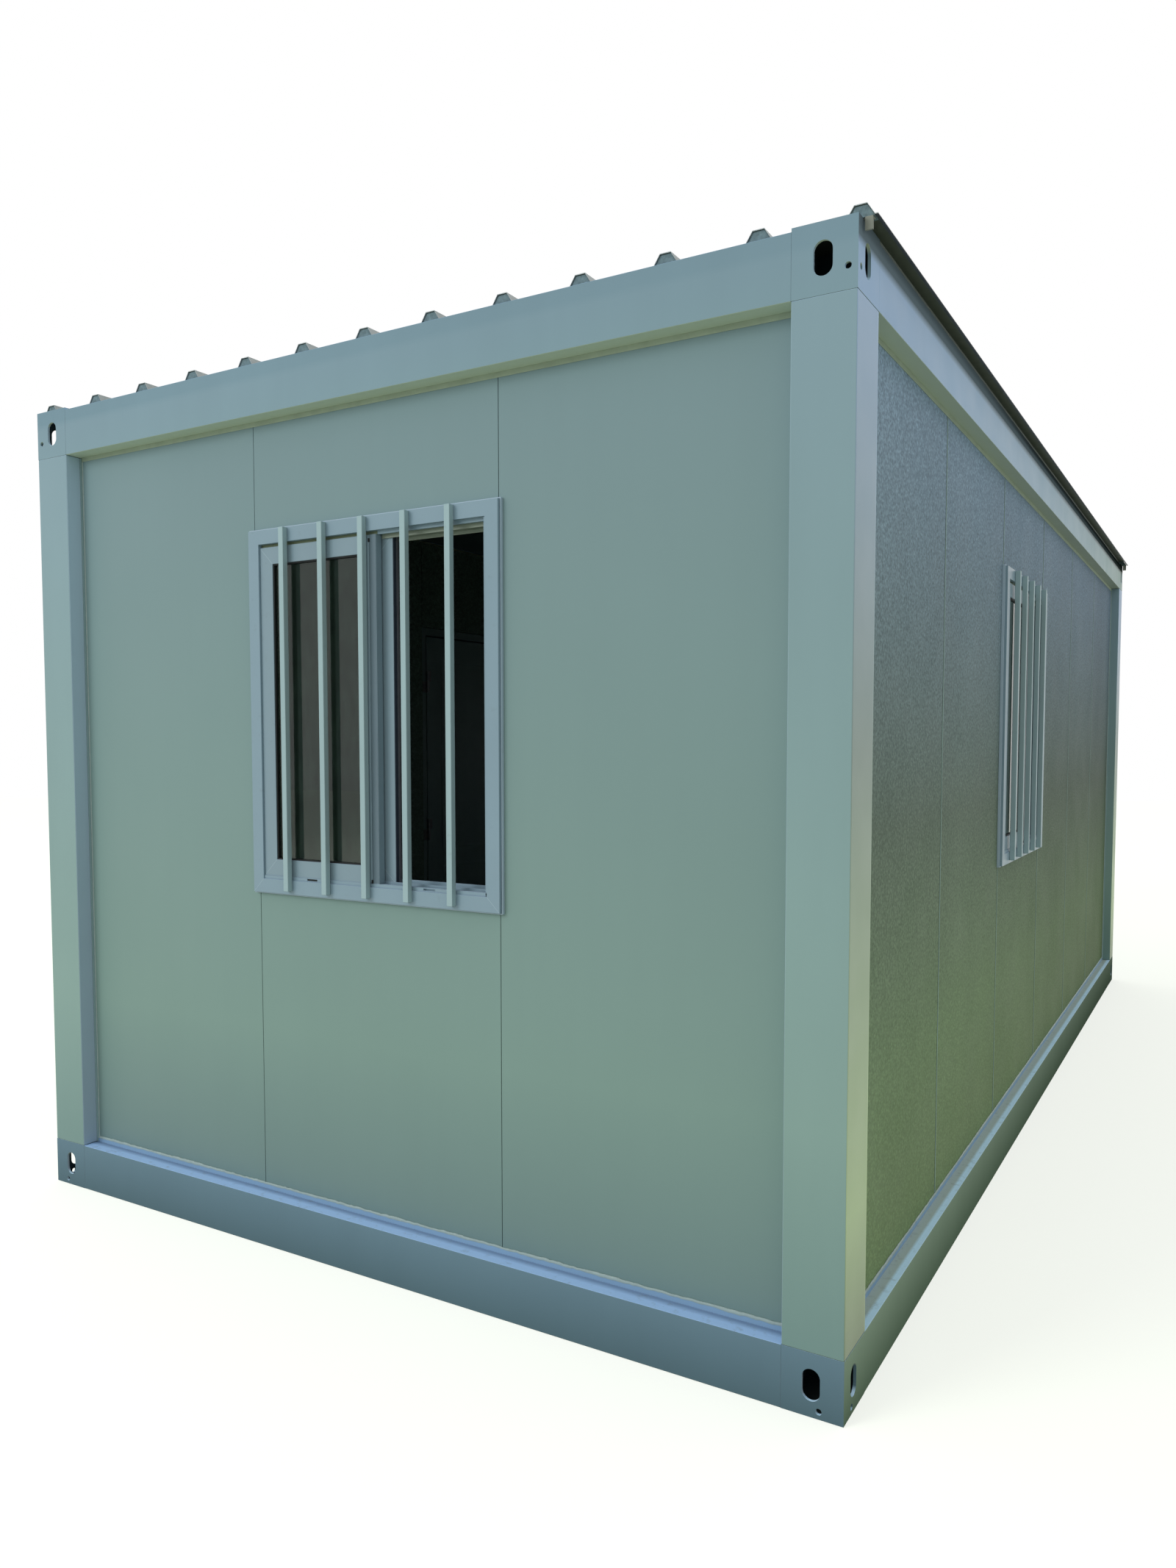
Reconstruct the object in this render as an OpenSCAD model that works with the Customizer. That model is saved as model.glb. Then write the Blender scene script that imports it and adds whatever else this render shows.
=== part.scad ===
// Flat-pack modular cabin: a bolted steel frame of corner posts, corner
// fittings and folded beams, closed with sandwich panels.
// Millimetres. +Z is up, the long axis is Y and the front end faces -Y.
// The origin is the middle of the footprint, on the ground.

/* [Module] */
// Width over the corner posts, along X
module_w = 3000; // [2400:50:3600]
// Length over the corner posts, along Y
module_l = 6000; // [4800:50:7200]
// Height from the ground to the top of the roof frame
module_h = 2820; // [2500:10:3400]
// Wall bays across each short end
end_bays = 3; // [3:2:5]
// Wall bays along each long side
side_bays = 6; // [4:1:8]
// Bay of the right side that holds the window, counted from 0 at the front end
side_window_bay = 2; // [1:1:3]
// Bay of the left side that holds the door, counted from 0 at the front end
side_door_bay = 2; // [1:1:3]

/* [Frame] */
// Width of a corner post's face on the short ends
post_w = 158; // [130:1:200]
// Width of a corner post's face on the long sides
post_d = 168; // [140:1:210]
// Height of the floor beams and of the bottom corner fittings
floor_beam_h = 160; // [130:1:200]
// Height of the top corner fittings
roof_beam_h = 165; // [130:1:200]
// Top of the roof beams below the top of the fittings
roof_beam_drop = 8; // [0:1:15]
// Thickness of the folded beams
beam_t = 4; // [3:0.5:8]
// Plate thickness of the corner fittings
fitting_t = 8; // [5:0.5:12]
// Width of the coupling slots in the corner fittings
slot_w = 46; // [36:1:56]
// Length of the coupling slots, end to end
slot_l = 80; // [66:1:100]
// Slot centre from the corner, on the short ends
slot_from_corner_w = 82; // [60:1:95]
// Slot centre from the corner, on the long sides
slot_from_corner_d = 75; // [60:1:95]
// Diameter of the bolt holes beside the slots
bolt_hole_d = 16; // [10:1:20]
// Top bolt hole from the corner
top_bolt_from_corner = 23; // [20:1:26]
// Top bolt hole below the top of the fitting
top_bolt_drop = 111; // [100:1:120]
// Bottom bolt hole from the corner
bottom_bolt_from_corner = 62; // [50:1:70]
// Bottom bolt hole above the ground
bottom_bolt_rise = 19; // [18:1:22]

/* [Walls] */
// Thickness of the sandwich panels
panel_t = 75; // [50:1:100]
// Joint between two neighbouring panels
panel_gap = 2; // [1:0.5:5]
// Set-back of the walls behind the frame on the short ends
recess_end = 60; // [45:1:75]
// Set-back of the walls behind the frame on the long sides
recess_side = 50; // [45:1:75]
// End of the panel run from the corner, on the short ends
run_inset_end = 75; // [72:1:90]
// End of the panel run from the corner, on the long sides
run_inset_side = 150; // [140:1:160]

/* [Floor and roof] */
// Thickness of the floor deck
deck_t = 18; // [12:1:28]
// Thickness of a floor joist
joist_t = 50; // [30:1:80]
// Height of a floor joist
joist_h = 100; // [60:1:110]
// Number of floor joists, and of roof purlins
joist_count = 11; // [8:1:15]
// Thickness of the ceiling
ceiling_t = 12; // [8:1:30]
// Bearing of the ceiling on the lower flange of the roof beams
ceiling_bearing = 40; // [20:1:80]
// Thickness of a roof purlin
purlin_t = 50; // [30:1:80]
// Height of a roof purlin
purlin_h = 80; // [50:1:100]
// Thickness of the roof sheet
sheet_t = 2; // [1:0.5:4]
// Overhang of the roof sheet past the long sides
sheet_overhang = 35; // [34:1:60]
// Set-back of the roof sheet from both short ends
sheet_setback = 28; // [0:1:60]
// Spacing of the roof ribs
rib_pitch = 246; // [180:1:300]
// Centre of the outermost rib in from the corner
rib_inset = 5; // [0:1:30]
// Width of a roof rib at its base
rib_base = 66; // [50:1:70]
// Width of a roof rib at its top
rib_top = 30; // [16:1:40]
// Height of a roof rib
rib_h = 28; // [20:1:45]

/* [Windows] */
// Height of a window over its frame
window_h = 1157; // [900:1:1400]
// Bottom of the window frame above the ground
window_z = 1151; // [900:1:1300]
// Overlap of the window and door frames on the panels around them
frame_lap = 10; // [5:1:25]
// How far the window frames stand proud of the wall
frame_proud = 20; // [10:1:22]
// Face width of a window frame
frame_w = 45; // [30:1:60]
// Depth of a window frame behind the wall's face
frame_d = 60; // [58:1:72]
// Clearance of a frame in its opening
frame_clear = 2; // [1:0.5:5]
// Width of the sash members
sash_w = 54; // [40:1:70]
// Depth of a sash
sash_d = 26; // [20:1:28]
// Outer sash face behind the frame face
sash_inset = 7; // [2:1:12]
// Gap between the two sashes
sash_gap = 6; // [3:1:10]
// Height of the track rails that carry and guide the sashes
rail_h = 10; // [5:1:15]
// Overlap of the outer sash past the middle of the window
sash_lap = 40; // [30:1:60]
// How far the inner sash is pushed along past the middle
inner_sash_past = 78; // [67:1:120]
// Thickness of the panes
glass_t = 5; // [4:0.5:8]
// Depth of the glazing groove in the sashes
glass_bite = 12; // [8:1:16]
// Clearance round the edge of a pane
glass_clear = 2; // [1:0.5:4]
// Side of a square security bar
bar_w = 20; // [12:1:24]
// Number of bars on each window
bar_count = 5; // [3:1:6]
// Bars below the top edge of the frame
bar_top_drop = 2; // [0:1:20]
// Bars above the bottom edge of the frame
bar_bottom_rise = 11; // [0:1:20]

/* [Door] */
// Height of the door opening's frame above the floor
door_h = 2080; // [1900:10:2120]
// Face width of the door frame
door_frame_w = 50; // [35:1:70]
// How far the door frame stands proud of the wall
door_proud = 8; // [4:1:20]
// Depth of the door frame behind the wall's face
door_frame_d = 66; // [60:1:72]
// Height of the door's threshold
threshold_h = 20; // [12:1:30]
// Thickness of the door leaf
leaf_t = 42; // [35:1:50]
// Clearance round the door leaf
leaf_clear = 7; // [6:0.5:9]
// Width of the stop that the leaf closes against
stop_w = 14; // [10:1:20]
// Gap between the stop and the leaf, which the gasket fills
stop_gap = 6; // [5:0.5:8]
// Number of hinges
hinge_count = 3; // [2:1:4]
// Height of a hinge
hinge_h = 110; // [80:1:140]
// Diameter of a hinge's knuckle
knuckle_d = 16; // [14:1:20]
// Diameter of a hinge's pin
pin_d = 8; // [6:0.5:10]
// Centre of the lowest hinge above the foot of the leaf, and of the highest below its head
hinge_inset = 233; // [150:1:300]
// Height of the door handle above the floor
handle_z = 1000; // [900:10:1100]
// Length of the handle's lever
lever_l = 125; // [100:1:140]
// Diameter of the handle's lever
lever_d = 20; // [16:1:22]

/* [Hidden] */
$fn = 48;
tiny = 0.5;

post_top = module_h - roof_beam_h;
end_run = module_w - 2 * run_inset_end;
side_run = module_l - 2 * run_inset_side;
end_bay = end_run / end_bays;
side_bay = side_run / side_bays;
end_middle_bay = (end_bays - 1) / 2;
deck_x = module_w / 2 - post_w;
deck_y = module_l / 2 - post_d;

frame_paint = [0.72, 0.76, 0.77];
panel_paint = [0.80, 0.83, 0.82];
pvc_white = [0.90, 0.91, 0.90];
bar_paint = [0.86, 0.88, 0.87];
glass_tint = [0.30, 0.36, 0.38];
galvanised = [0.70, 0.71, 0.72];

// ---- placing ----

// A copy for one corner: x_side is -1 on the left, y_side is -1 at the front end
module at_corner(x_side, y_side) {
    mirror([x_side > 0 ? 1 : 0, 0, 0])
        mirror([0, y_side > 0 ? 1 : 0, 0])
            translate([-module_w / 2, -module_l / 2, 0])
                children();
}

// Wall frames: local X runs along the wall from its middle, local Y points
// inwards from the wall's outer face, local Z is the height above the ground
module on_front() {
    translate([0, -module_l / 2 + recess_end, 0]) children();
}
module on_back() {
    rotate([0, 0, 180]) on_front() children();
}
module on_right() {
    rotate([0, 0, 90]) translate([0, -module_w / 2 + recess_side, 0]) children();
}
module on_left() {
    mirror([1, 0, 0]) on_right() children();
}

// ---- steel frame ----

// Upright slot through a fitting's plate, cut along +Y from y = 0
module coupling_slot(x, z) {
    reach = 3 * fitting_t;
    straight = slot_l - slot_w;
    for (side = [-1, 1])
        translate([x, -fitting_t, z + side * straight / 2])
            rotate([-90, 0, 0]) cylinder(h = reach, d = slot_w);
    translate([x - slot_w / 2, -fitting_t, z - straight / 2]) cube([slot_w, reach, straight]);
}

// Hollow plate box with a slot and a bolt hole in each outer face, corner at the origin
module fitting(height, bolt_from_corner, bolt_z) {
    difference() {
        cube([post_w, post_d, height]);
        translate([fitting_t, fitting_t, fitting_t])
            cube([post_w - 2 * fitting_t, post_d - 2 * fitting_t, height - 2 * fitting_t]);
        coupling_slot(slot_from_corner_w, height / 2);
        mirror([1, -1, 0]) coupling_slot(slot_from_corner_d, height / 2);
        translate([bolt_from_corner, -fitting_t, bolt_z])
            rotate([-90, 0, 0]) cylinder(h = 3 * fitting_t, d = bolt_hole_d);
        translate([-fitting_t, bolt_from_corner, bolt_z])
            rotate([0, 90, 0]) cylinder(h = 3 * fitting_t, d = bolt_hole_d);
    }
}

module bottom_fitting(x_side, y_side) {
    color(frame_paint) at_corner(x_side, y_side)
        fitting(floor_beam_h, bottom_bolt_from_corner, bottom_bolt_rise);
}

module top_fitting(x_side, y_side) {
    color(frame_paint) at_corner(x_side, y_side)
        translate([0, 0, post_top]) fitting(roof_beam_h, top_bolt_from_corner, roof_beam_h - top_bolt_drop);
}

// Folded post with its insulating core: it laps over the ends of both walls
// and closes the corner of the room flush with them
module post(x_side, y_side) {
    inner_y = recess_end + panel_t;
    inner_x = recess_side + panel_t;
    color(frame_paint) at_corner(x_side, y_side)
        translate([0, 0, floor_beam_h]) linear_extrude(post_top - floor_beam_h) polygon([
            [0, 0], [post_w, 0], [post_w, recess_end], [run_inset_end, recess_end],
            [run_inset_end, inner_y], [inner_x, inner_y], [inner_x, run_inset_side],
            [recess_side, run_inset_side], [recess_side, post_d], [0, post_d]]);
}

// Folded channel along X: its web is at y = 0 and it opens towards +Y
module channel(length, depth, height) {
    translate([-length / 2, 0, 0]) difference() {
        cube([length, depth, height]);
        translate([-tiny, beam_t, beam_t]) cube([length + 2 * tiny, depth, height - 2 * beam_t]);
    }
}

// A beam between two fittings, as deep as they are; the turn carries it from the front end.
// The sheet lies on the fittings and the purlins, just clear of the roof beams.
module beam(turn, z, height) {
    on_end = turn % 180 == 0;
    size = on_end ? [module_w, module_l] : [module_l, module_w];
    post = on_end ? [post_w, post_d] : [post_d, post_w];
    color(frame_paint) rotate([0, 0, turn]) translate([0, -size[1] / 2, z])
        channel(size[0] - 2 * post[0], post[1], height);
}

// ---- floor and roof ----

// Cross members at even spacing along the module
module cross_members(half_width, thickness, height) {
    spacing = 2 * deck_y / (joist_count + 1);
    for (i = [1 : joist_count])
        translate([-half_width, -deck_y + i * spacing - thickness / 2, 0])
            cube([2 * half_width, thickness, height]);
}

module floor_joists() {
    color(galvanised) translate([0, 0, floor_beam_h - deck_t - joist_h])
        cross_members(module_w / 2 - beam_t, joist_t, joist_h);
}

module floor_deck() {
    color([0.45, 0.43, 0.40]) translate([-deck_x, -deck_y, floor_beam_h - deck_t])
        cube([2 * deck_x, 2 * deck_y, deck_t]);
}

module ceiling() {
    color(panel_paint) translate([-deck_x - ceiling_bearing, -deck_y, post_top + beam_t])
        cube([2 * (deck_x + ceiling_bearing), 2 * deck_y, ceiling_t]);
}

module roof_purlins() {
    color(galvanised) translate([0, 0, module_h - purlin_h])
        cross_members(deck_x, purlin_t, purlin_h);
}

// Trapezoidal sheet whose ribs run the length of the module, set out from its right edge
module roof_sheet() {
    half = module_w / 2 + sheet_overhang;
    last = module_w / 2 - rib_inset;
    ribs = floor((last + module_w / 2 - rib_base / 2) / rib_pitch) + 1;
    outline = concat(
        [[-half, 0]],
        [for (i = [ribs - 1 : -1 : 0], p = [
            [-rib_base / 2, 0], [-rib_top / 2, rib_h], [rib_top / 2, rib_h], [rib_base / 2, 0]])
            [last - i * rib_pitch + p[0], p[1]]],
        [[half, 0]]);
    underside = [for (i = [len(outline) - 1 : -1 : 0]) outline[i]];
    topside = [for (p = outline) [p[0], p[1] + sheet_t]];
    length = module_l - 2 * sheet_setback;
    color(galvanised) translate([0, length / 2, module_h]) rotate([90, 0, 0])
        linear_extrude(length) polygon(concat(topside, underside));
}

// ---- walls ----

// Low edge of a bay from the middle of its run, to a hundredth of a millimetre
function bay_edge(run, bays, index) = round(100 * (index / bays - 0.5) * run) / 100;

// One panel that fills a bay, counted from the low end of the run
module bay_panel(run, bays, index, z0, z1) {
    low = bay_edge(run, bays, index) + (index == 0 ? 0 : panel_gap / 2);
    high = bay_edge(run, bays, index + 1) - (index == bays - 1 ? 0 : panel_gap / 2);
    translate([low, 0, z0]) cube([high - low, panel_t, z1 - z0]);
}

// All the full panels of a wall but the one in the skipped bay
module full_panels(run, bays, skipped) {
    color(panel_paint)
        for (i = [0 : bays - 1])
            if (i != skipped) bay_panel(run, bays, i, floor_beam_h, post_top);
}
module end_wall_panels() {
    full_panels(end_run, end_bays, end_middle_bay);
}
module side_wall_panels(skipped) {
    full_panels(side_run, side_bays, skipped);
}

// The short panels under and over a window
module window_panels(run, bays, index) {
    color(panel_paint) {
        bay_panel(run, bays, index, floor_beam_h, window_z + frame_lap);
        bay_panel(run, bays, index, window_z + window_h - frame_lap, post_top);
    }
}
module end_window_panels() {
    window_panels(end_run, end_bays, end_middle_bay);
}
module side_window_panels() {
    window_panels(side_run, side_bays, side_window_bay);
}

module door_head_panel() {
    color(panel_paint)
        bay_panel(side_run, side_bays, side_door_bay, floor_beam_h + door_h - frame_lap, post_top);
}

// ---- windows ----

// A flat rectangular ring, width by height by depth, with members of one width
module ring(width, height, depth, member) {
    difference() {
        translate([-width / 2, 0, 0]) cube([width, depth, height]);
        translate([-width / 2 + member, -tiny, member])
            cube([width - 2 * member, depth + 2 * tiny, height - 2 * member]);
    }
}

// Frame: a proud flange lapping the panels, a body in the opening and the two track rails
module window_frame(bay) {
    flange_w = bay + 2 * frame_lap;
    body_w = bay - 2 * frame_clear;
    body_z = frame_lap + frame_clear;
    body_h = window_h - 2 * body_z;
    clear_w = flange_w - 2 * frame_w;
    track_y = -frame_proud + sash_inset;
    color(pvc_white) translate([0, 0, window_z]) {
        translate([0, -frame_proud, 0]) ring(flange_w, window_h, frame_proud, frame_w);
        translate([0, 0, body_z])
            ring(body_w, body_h, frame_d, (body_w - clear_w) / 2);
        for (z = [frame_w, window_h - frame_w - rail_h], track = [0, 1])
            translate([-clear_w / 2, track_y + track * (sash_d + sash_gap) + sash_d / 3, z])
                cube([clear_w, sash_d / 3, rail_h]);
    }
}

// Places a child on the sash of one track: 0 is the outer one, 1 the inner one
module at_sash(bay, track) {
    clear_w = bay + 2 * frame_lap - 2 * frame_w;
    sash_l = clear_w / 2 + sash_lap;
    right_edge = track == 0 ? sash_lap : inner_sash_past;
    translate([right_edge - sash_l / 2, -frame_proud + sash_inset + track * (sash_d + sash_gap),
        window_z + frame_w + rail_h]) children();
}

// Two glazed sashes, both standing in the left half so that the right half is open
module window_sashes(bay) {
    clear_w = bay + 2 * frame_lap - 2 * frame_w;
    sash_l = clear_w / 2 + sash_lap;
    sash_h = window_h - 2 * frame_w - 2 * rail_h;
    groove = sash_w - glass_bite;
    color(pvc_white) for (track = [0, 1]) at_sash(bay, track) difference() {
        ring(sash_l, sash_h, sash_d, sash_w);
        translate([-sash_l / 2 + groove, (sash_d - glass_t) / 2, groove])
            cube([sash_l - 2 * groove, glass_t, sash_h - 2 * groove]);
    }
}

module window_glass(bay) {
    clear_w = bay + 2 * frame_lap - 2 * frame_w;
    sash_l = clear_w / 2 + sash_lap;
    sash_h = window_h - 2 * frame_w - 2 * rail_h;
    edge = sash_w - glass_bite + glass_clear;
    color(glass_tint) for (track = [0, 1]) at_sash(bay, track)
        translate([-sash_l / 2 + edge, (sash_d - glass_t) / 2, edge])
            cube([sash_l - 2 * edge, glass_t, sash_h - 2 * edge]);
}

module window_bars(bay) {
    pitch = (bay + 2 * frame_lap) / (bar_count + 1);
    color(bar_paint) for (i = [0 : bar_count - 1])
        translate([(i - (bar_count - 1) / 2) * pitch - bar_w / 2, -frame_proud - bar_w,
            window_z + bar_bottom_rise])
            cube([bar_w, bar_w, window_h - bar_bottom_rise - bar_top_drop]);
}

// One named piece of a window, about the middle of its bay
module window_piece(piece, bay) {
    if (piece == "frame") window_frame(bay);
    if (piece == "sashes") window_sashes(bay);
    if (piece == "glass") window_glass(bay);
    if (piece == "bars") window_bars(bay);
}

module at_side_bay(index) {
    translate([-side_run / 2 + (index + 0.5) * side_bay, 0, 0]) children();
}

module front_window(piece) {
    on_front() window_piece(piece, end_bay);
}
module back_window(piece) {
    on_back() window_piece(piece, end_bay);
}

module right_window(piece) {
    on_right() at_side_bay(side_window_bay) window_piece(piece, side_bay);
}

// ---- door ----

door_flange_w = side_bay + 2 * frame_lap;
door_clear_w = door_flange_w - 2 * door_frame_w;
door_head = door_h - door_frame_w;
leaf_y = door_frame_d - leaf_t;
leaf_w = door_clear_w - 2 * leaf_clear;
leaf_h = door_head - threshold_h - 2 * leaf_clear;
leaf_foot = threshold_h + leaf_clear;
hinge_plate_t = 3;
hinge_plate_w = 36;
knuckle_clear = 1.5;
hinge_x = -door_clear_w / 2 + leaf_clear / 2;
hinge_y = door_frame_d + knuckle_clear + knuckle_d / 2;
pin_clear = 0.05;

// The doorway, from the middle of its bay and the top of the floor beam
module at_door() {
    on_left() at_side_bay(side_door_bay) translate([0, 0, floor_beam_h]) children();
}

// Upright ring of a door frame: the head and jambs take one width, the threshold another
module door_ring(outer_w, top, depth, inner_w, inner_bottom, inner_top) {
    difference() {
        translate([-outer_w / 2, 0, 0]) cube([outer_w, depth, top]);
        translate([-inner_w / 2, -tiny, inner_bottom])
            cube([inner_w, depth + 2 * tiny, inner_top - inner_bottom]);
    }
}

// The leaf closes outwards against the stop and opens into the room
module door_frame() {
    body_w = side_bay - 2 * frame_clear;
    body_h = door_h - frame_lap - frame_clear;
    color(panel_paint) at_door() {
        translate([0, -door_proud, 0])
            door_ring(door_flange_w, door_h, door_proud, door_clear_w, threshold_h, door_head);
        door_ring(body_w, body_h, door_frame_d, door_clear_w, threshold_h, door_head);
        translate([0, -door_proud, 0])
            door_ring(door_clear_w + tiny, door_head + tiny, door_proud + leaf_y - stop_gap,
                door_clear_w - 2 * stop_w, threshold_h, door_head - stop_w);
    }
}

module door_leaf() {
    color(panel_paint) at_door()
        translate([-leaf_w / 2, leaf_y, leaf_foot]) cube([leaf_w, leaf_t, leaf_h]);
}

// Places a child at the middle of each hinge, on the hinges' axis
module at_hinges() {
    spacing = (leaf_h - 2 * hinge_inset) / (hinge_count - 1);
    at_door() for (i = [0 : hinge_count - 1])
        translate([hinge_x, hinge_y, leaf_foot + hinge_inset + i * spacing]) children();
}

// Lower half of each hinge, on the frame, with the pin that carries the upper half
module door_frame_hinges() {
    color(galvanised) at_hinges() {
        translate([0, 0, -hinge_h / 2]) cylinder(h = hinge_h / 2, d = knuckle_d);
        cylinder(h = hinge_h / 2, d = pin_d);
        translate([-hinge_plate_w, door_frame_d - hinge_y, -hinge_h / 2])
            cube([hinge_plate_w, hinge_plate_t, hinge_h / 2]);
    }
}

// Upper half of each hinge, on the leaf, bored for the pin
module door_leaf_hinges() {
    gap = 1;
    color(galvanised) at_hinges() difference() {
        union() {
            translate([0, 0, gap]) cylinder(h = hinge_h / 2 - gap, d = knuckle_d);
            translate([0, door_frame_d - hinge_y, gap])
                cube([hinge_plate_w, hinge_plate_t, hinge_h / 2 - gap]);
        }
        cylinder(h = hinge_h, d = pin_d + 2 * pin_clear);
    }
}

// Lever handle on its long plate, on a face at y = 0; it stands out towards -Y
module lever_handle() {
    plate = [40, 6, 220];
    neck_d = lever_d + 4;
    lever_y = 32;
    neck_l = lever_y + neck_d / 2;
    translate([-plate[0] / 2, -plate[1], -plate[2] / 2]) cube(plate);
    translate([0, -neck_l, 0]) rotate([-90, 0, 0]) cylinder(h = neck_l, d = neck_d);
    translate([0, -lever_y, 0]) rotate([0, -90, 0]) cylinder(h = lever_l, d = lever_d);
}

module door_handles() {
    backset = 60;
    color("silver") at_door() translate([leaf_w / 2 - backset, leaf_y, handle_z]) {
        lever_handle();
        translate([0, leaf_t, 0]) mirror([0, 1, 0]) lever_handle();
    }
}

// ---- nodes ----

corner_names = ["front_left", "front_right", "back_left", "back_right"];
corner_sides = [[-1, -1], [1, -1], [-1, 1], [1, 1]];
for (i = [0 : 3]) {
    bottom_fitting(corner_sides[i][0], corner_sides[i][1]);
    top_fitting(corner_sides[i][0], corner_sides[i][1]);
    post(corner_sides[i][0], corner_sides[i][1]);
}
for (way = [["front", 0], ["right", 90], ["back", 180], ["left", 270]]) {
    beam(way[1], 0, floor_beam_h);
    beam(way[1], post_top, roof_beam_h - roof_beam_drop);
}
floor_joists();
floor_deck();
ceiling();
roof_purlins();
roof_sheet();
on_front() end_wall_panels();  // front_wall_panels
on_back() end_wall_panels();  // back_wall_panels
on_right() side_wall_panels(side_window_bay);  // right_wall_panels
on_left() side_wall_panels(side_door_bay);  // left_wall_panels
on_front() end_window_panels();  // front_window_panels
on_back() end_window_panels();  // back_window_panels
on_right() side_window_panels();  // right_window_panels
on_left() door_head_panel();

for (piece = ["frame", "sashes", "glass", "bars"]) {
    front_window(piece);
    back_window(piece);
    right_window(piece);
}
door_frame();
door_frame_hinges();
door_leaf();
door_leaf_hinges();
door_handles();
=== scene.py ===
import math
import random

import bmesh
import bpy
from mathutils import Matrix, Vector

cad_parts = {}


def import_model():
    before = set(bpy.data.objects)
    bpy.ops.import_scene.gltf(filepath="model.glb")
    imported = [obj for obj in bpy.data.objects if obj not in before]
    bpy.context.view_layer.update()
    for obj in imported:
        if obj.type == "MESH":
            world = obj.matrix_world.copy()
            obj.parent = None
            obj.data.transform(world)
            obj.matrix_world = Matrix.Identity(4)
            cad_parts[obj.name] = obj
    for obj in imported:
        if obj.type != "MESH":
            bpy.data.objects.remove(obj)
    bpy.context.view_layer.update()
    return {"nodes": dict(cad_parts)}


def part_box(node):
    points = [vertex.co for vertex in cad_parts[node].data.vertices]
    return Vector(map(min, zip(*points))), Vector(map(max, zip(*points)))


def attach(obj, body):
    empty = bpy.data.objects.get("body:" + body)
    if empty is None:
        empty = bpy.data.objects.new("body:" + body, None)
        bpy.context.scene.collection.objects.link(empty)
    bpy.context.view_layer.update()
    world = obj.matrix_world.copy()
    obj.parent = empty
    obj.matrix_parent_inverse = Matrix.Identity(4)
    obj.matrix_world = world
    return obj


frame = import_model()


# ---- places taken from the frame, in metres ----

post_low, post_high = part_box("post_front_right")
HALF_W = post_high.x
HALF_L = -post_low.y
POST_INNER_X = post_low.x
POST_INNER_Y = -post_high.y
FLOOR_TOP = post_low.z
ROOF_LOW = post_high.z
ROOF_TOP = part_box("top_fitting_front_right")[1].z
FRONT_FACE = -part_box("front_wall_panels")[0].y
SIDE_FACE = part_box("right_wall_panels")[1].x
PANEL_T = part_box("front_wall_panels")[1].y + FRONT_FACE
SHEET_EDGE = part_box("roof_sheet")[1].x
SHEET_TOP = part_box("roof_sheet")[1].z
SHEET_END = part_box("roof_sheet")[1].y
BEAM_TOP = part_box("roof_beam_front")[1].z

BAY = 0.95
PANEL_GAP = 0.002
SASH_LAP = 0.040
INNER_SASH_PAST = 0.078
SASH_INSET = 0.007
SASH_W = 0.054
SASH_D = 0.026
SASH_GAP = 0.006
GLASS_T = 0.005
FRAME_W = 0.045
RAIL_H = 0.010
RIB_PITCH = 0.246
RIB_BASE = 0.066
RIB_TOP = 0.030
RIB_H = 0.028
SHEET_T = 0.002


class Wall:
    """One wall's own directions: u along it, v inwards from its outer face, z up."""

    def __init__(self, name, origin, along, inward, half_run, joints):
        self.name = name
        self.origin = Vector(origin)
        self.along = Vector(along)
        self.inward = Vector(inward)
        self.half_run = half_run
        self.joints = joints

    def at(self, place):
        u, v, z = place
        return self.origin + self.along * u + self.inward * v + Vector((0, 0, z))

    def box(self, node):
        """A CAD node's box as its (low, high) along u, v and z."""
        corners = [corner - self.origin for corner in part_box(node)]
        spans = [[c.dot(self.along) for c in corners], [c.dot(self.inward) for c in corners],
                 [c.z for c in corners]]
        return [tuple(sorted(span)) for span in spans]

    def foot_runs(self):
        """The stretches of the wall's foot that no door interrupts."""
        if self.name != "left":
            return [(-self.half_run, self.half_run)]
        door = self.box("door_frame")[0]
        return [(-self.half_run, door[0]), (door[1], self.half_run)]

    def clear_spans(self, u, low, high):
        """The parts of an upright line at u that the window's or the door's frame leaves clear."""
        across, _, z = self.box({"right": "right_window_frame", "left": "door_frame"}[self.name])
        margin = 0.005
        if not across[0] - margin < u < across[1] + margin:
            return [(low, high)]
        spans = [(low, z[0] - margin), (z[1] + margin, high)]
        return [(start, end) for start, end in spans if end - start > 0.02]


end_joints = [(i - 0.5) * BAY for i in range(2)]
side_joints = [(i - 2) * BAY for i in range(5)]
WALLS = {
    "front": Wall("front", (0, -FRONT_FACE, 0), (1, 0, 0), (0, 1, 0), POST_INNER_X, end_joints),
    "back": Wall("back", (0, FRONT_FACE, 0), (-1, 0, 0), (0, -1, 0), POST_INNER_X, end_joints),
    "right": Wall("right", (SIDE_FACE, 0, 0), (0, 1, 0), (-1, 0, 0), POST_INNER_Y, side_joints),
    "left": Wall("left", (-SIDE_FACE, 0, 0), (0, 1, 0), (1, 0, 0), POST_INNER_Y, side_joints),
}
WINDOW_WALLS = ("front", "back", "right")


# ---- mesh code ----

def soften_edges(thing, width, segments=2):
    """Rounds a piece's sharp edges and keeps its flat faces flat."""
    bevel = thing.modifiers.new("rounded edges", "BEVEL")
    bevel.width = width
    bevel.segments = segments
    bevel.limit_method = "ANGLE"
    bevel.angle_limit = math.radians(30)
    bevel.harden_normals = True


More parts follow.
